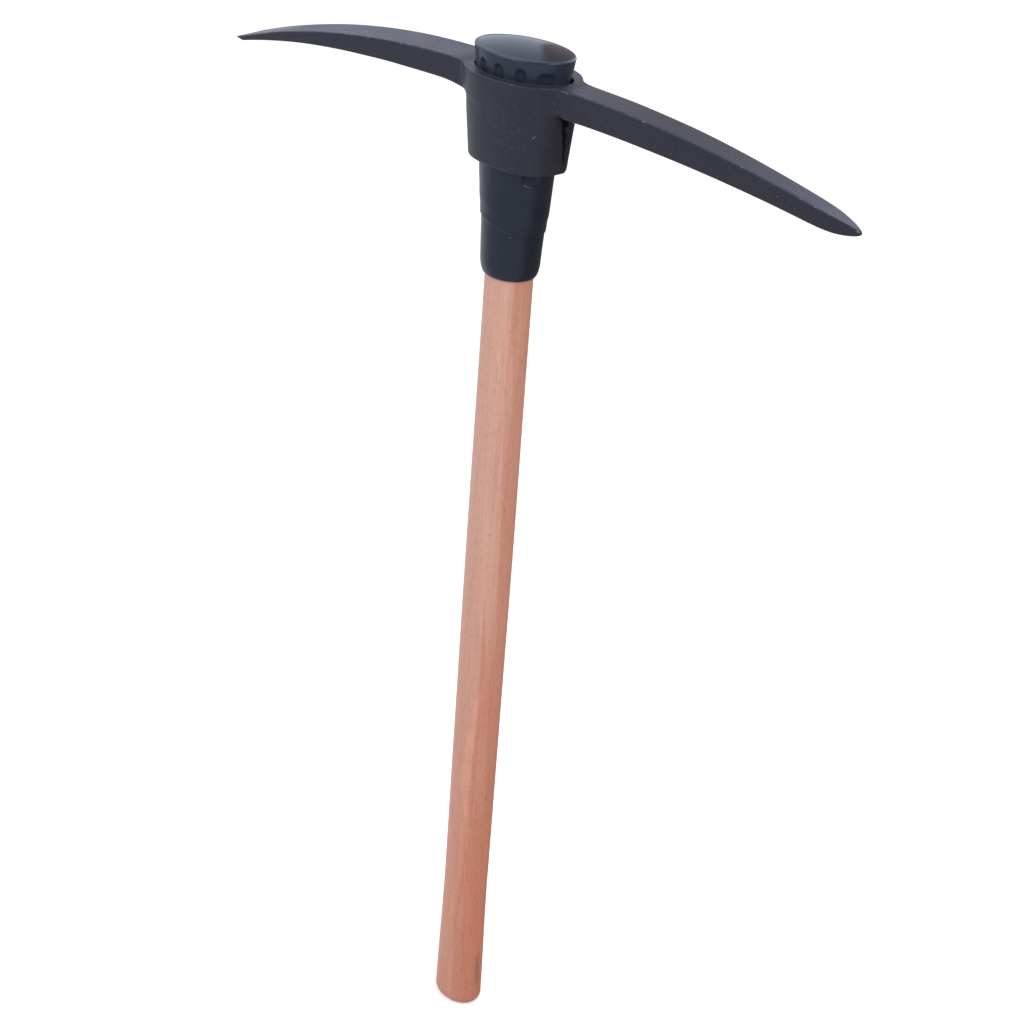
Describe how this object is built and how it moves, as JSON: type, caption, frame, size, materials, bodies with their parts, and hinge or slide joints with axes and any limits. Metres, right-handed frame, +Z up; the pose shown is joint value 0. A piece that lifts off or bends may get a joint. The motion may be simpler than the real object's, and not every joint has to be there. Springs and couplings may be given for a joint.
{
  "type": "pick mattock",
  "caption": "Pick mattock with a forged head, one arm ending in a narrow chisel and the other in a point, jammed on a tapered plastic adapter at the top of an oval hardwood handle.",
  "frame": {"origin": "middle of the handle's flat butt end", "axes": "+Z up the handle's axis to the head, +X along the pointed arm, -X along the chisel arm, -Y the side that faces the picture's camera"},
  "size_m": [0.567, 0.0686, 0.9129],
  "materials": {
    "forged_head": "satin",
    "hardwood": "satin",
    "adapter_plastic": "satin",
    "cap_plastic": "satin",
    "wedge_wood": "matte",
    "wedge_steel": "satin"
  },
  "bodies": {
    "head": {"pick_head": "forged_head"},
    "handle": {"handle_shaft": "hardwood", "plastic_adapter": "adapter_plastic", "adapter_cap": "cap_plastic", "kerf_wedge": "wedge_wood", "cross_wedge_left": "wedge_steel", "cross_wedge_right": "wedge_steel"}
  },
  "joints": [
    {"name": "handle_slide", "type": "slide", "parent": "head", "child": "handle", "axis": [0, 0, 1], "range_m": [0, 0.9]}
  ]
}
